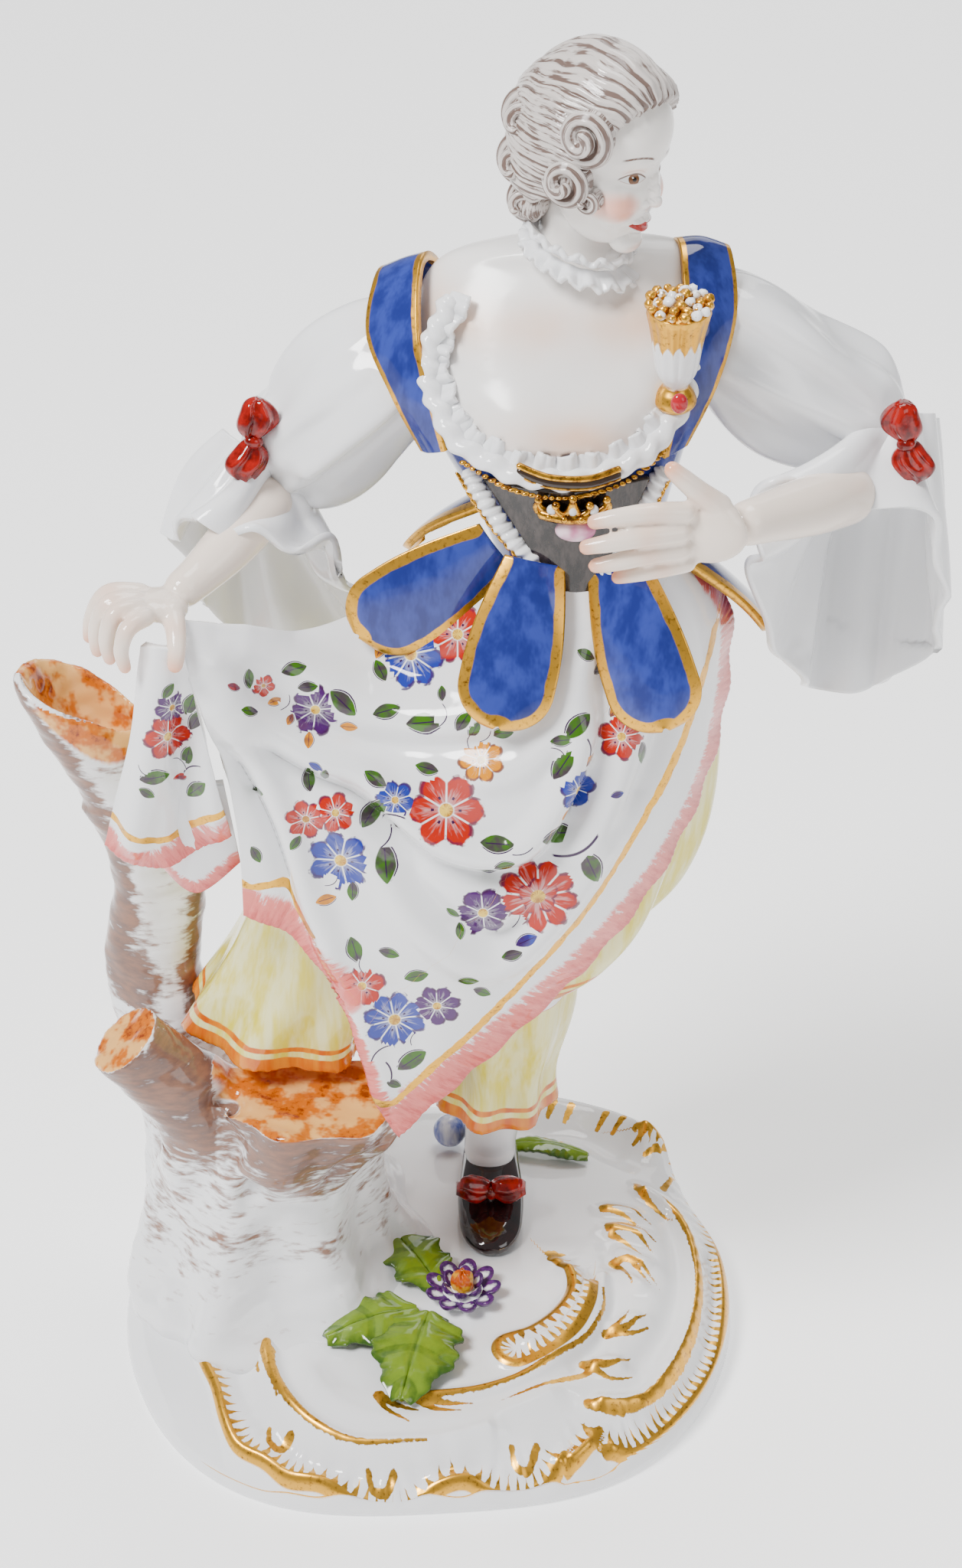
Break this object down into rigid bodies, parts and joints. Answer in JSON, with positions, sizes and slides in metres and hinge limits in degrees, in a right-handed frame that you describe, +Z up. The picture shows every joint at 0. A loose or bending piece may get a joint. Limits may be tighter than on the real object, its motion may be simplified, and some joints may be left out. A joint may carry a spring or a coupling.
{
  "type": "porcelain figurine",
  "caption": "Painted and gilded porcelain figurine of a dancing lady lifting a flowered apron beside a tree stump on a rocaille mound base",
  "frame": {"origin": "centre of the flat underside of the mound, on the table", "axes": "+Z up from the table to the crown of the hair, -Y towards the viewer whom the lady faces with her body, +X towards the raised hand with the bouquet holder"},
  "size_m": [0.0908, 0.0647, 0.1499],
  "materials": {
    "white_glaze": "gloss",
    "flesh_glaze": "gloss",
    "bark_glaze": "gloss",
    "blue_glaze": "gloss",
    "yellow_glaze": "gloss",
    "flowered_glaze": "gloss",
    "red_glaze": "gloss",
    "black_glaze": "gloss",
    "green_glaze": "gloss",
    "violet_glaze": "gloss",
    "hair_glaze": "gloss",
    "gilding": "polished",
    "rose_glaze": "gloss"
  },
  "bodies": {
    "root": {"apron": "flowered_glaze", "apron_flap": "flowered_glaze", "back_shell_lobe": "white_glaze", "base_mound": "white_glaze", "blossom_heart": "gilding", "blossom_petals": "violet_glaze", "bodice": "white_glaze", "bodice_lace_left": "white_glaze", "bodice_lace_right": "white_glaze", "bow_left": "red_glaze", "bow_right": "red_glaze", "brooch": "gilding", "brooch_stone": "rose_glaze", "bud_rear": "blue_glaze", "chest": "flesh_glaze", "corsage_cup": "gilding", "cuff_left": "white_glaze", "cuff_right": "white_glaze", "curl_back_lower": "hair_glaze", "curl_back_middle": "hair_glaze", "curl_back_upper": "hair_glaze", "curl_far": "hair_glaze", "curl_side_lower": "hair_glaze", "curl_side_upper": "hair_glaze", "front_inner_ridge": "white_glaze", "front_shell_border": "white_glaze", "hair_cap": "hair_glaze", "hand_left": "flesh_glaze", "hand_right": "flesh_glaze", "head": "flesh_glaze", "hollow_branch": "bark_glaze", "inner_ribbon": "white_glaze", "leaf_front": "green_glaze", "leaf_left": "green_glaze", "leaf_rear": "green_glaze", "leaf_upper": "green_glaze", "left_stub": "bark_glaze", "neck_ruff": "white_glaze", "neckline_lace": "white_glaze", "petticoat": "yellow_glaze", "rear_trunk": "bark_glaze", "right_inner_scroll": "white_glaze", "right_shell_border": "white_glaze", "shoe": "black_glaze", "shoe_bow": "red_glaze", "sleeve_left": "white_glaze", "sleeve_right": "white_glaze", "small_c_scroll": "white_glaze", "stocking": "white_glaze", "stomacher": "black_glaze", "strap_left": "blue_glaze", "strap_right": "blue_glaze", "tab_back_left": "blue_glaze", "tab_back_middle": "blue_glaze", "tab_back_right": "blue_glaze", "tab_left_front": "blue_glaze", "tab_middle_left": "blue_glaze", "tab_middle_right": "blue_glaze", "tab_right": "blue_glaze", "tree_stump": "bark_glaze"}
  },
  "joints": []
}
